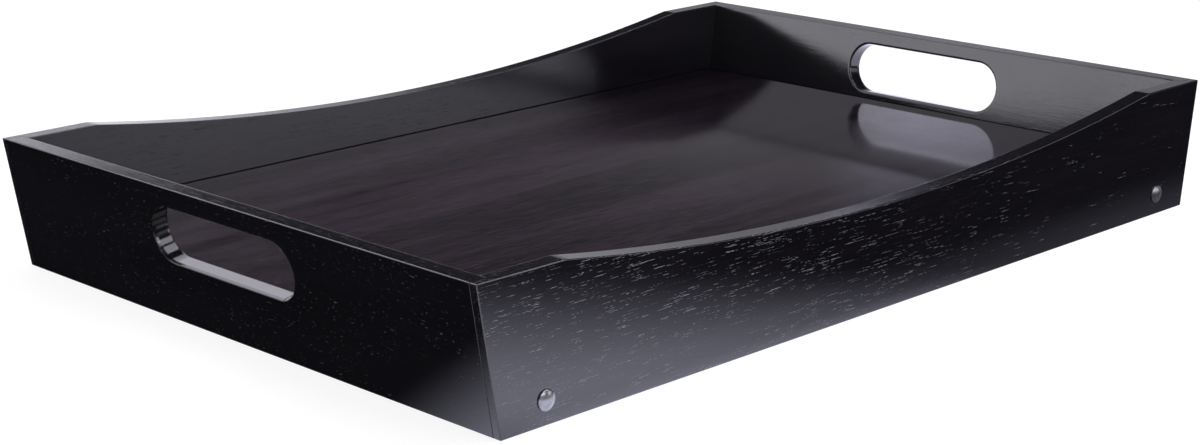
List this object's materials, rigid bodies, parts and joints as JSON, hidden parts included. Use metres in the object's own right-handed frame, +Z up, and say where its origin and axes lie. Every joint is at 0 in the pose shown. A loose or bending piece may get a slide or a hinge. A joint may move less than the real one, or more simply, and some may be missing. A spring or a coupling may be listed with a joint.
{
  "type": "bed tray",
  "caption": "Dark stained wooden bed tray with leaning slotted end boards, scooped long boards, a grooved-in floor and a folding leg frame under each end.",
  "frame": {"origin": "on the table, under the middle of the tray, with the legs folded", "axes": "+X along the tray's length towards its right end, +Y across it towards its back board, +Z up"},
  "size_m": [0.5, 0.347, 0.0655],
  "materials": {
    "stained_wood": "black-brown stain under satin lacquer, open pores",
    "floor_veneer": "dark red-brown stain under satin lacquer",
    "dowel_wood": "bare",
    "rivet_steel": "satin polished",
    "spacer_nylon": "matt"
  },
  "bodies": {
    "tray": {"floor_panel": "floor_veneer", "front_board": "stained_wood", "back_board": "stained_wood", "left_end_board": "stained_wood", "right_end_board": "stained_wood", "left_front_rivet": "rivet_steel", "left_back_rivet": "rivet_steel", "right_front_rivet": "rivet_steel", "right_back_rivet": "rivet_steel", "left_front_spacer": "spacer_nylon", "left_back_spacer": "spacer_nylon", "right_front_spacer": "spacer_nylon", "right_back_spacer": "spacer_nylon", "left_front_washer": "rivet_steel", "left_back_washer": "rivet_steel", "right_front_washer": "rivet_steel", "right_back_washer": "rivet_steel"},
    "left_legs": {"left_front_leg": "stained_wood", "left_back_leg": "stained_wood", "left_rail": "stained_wood", "left_front_dowel_lower": "dowel_wood", "left_front_dowel_upper": "dowel_wood", "left_back_dowel_lower": "dowel_wood", "left_back_dowel_upper": "dowel_wood"},
    "right_legs": {"right_front_leg": "stained_wood", "right_back_leg": "stained_wood", "right_rail": "stained_wood", "right_front_dowel_lower": "dowel_wood", "right_front_dowel_upper": "dowel_wood", "right_back_dowel_lower": "dowel_wood", "right_back_dowel_upper": "dowel_wood"}
  },
  "joints": [
    {"name": "left_legs_fold", "type": "hinge", "parent": "tray", "child": "left_legs", "pos_m": [-0.21543, 0, 0.0107], "axis": [0, 1, 0], "range_deg": [0, 95]},
    {"name": "right_legs_fold", "type": "hinge", "parent": "tray", "child": "right_legs", "pos_m": [0.21543, 0, 0.0107], "axis": [0, -1, 0], "range_deg": [0, 95]}
  ]
}
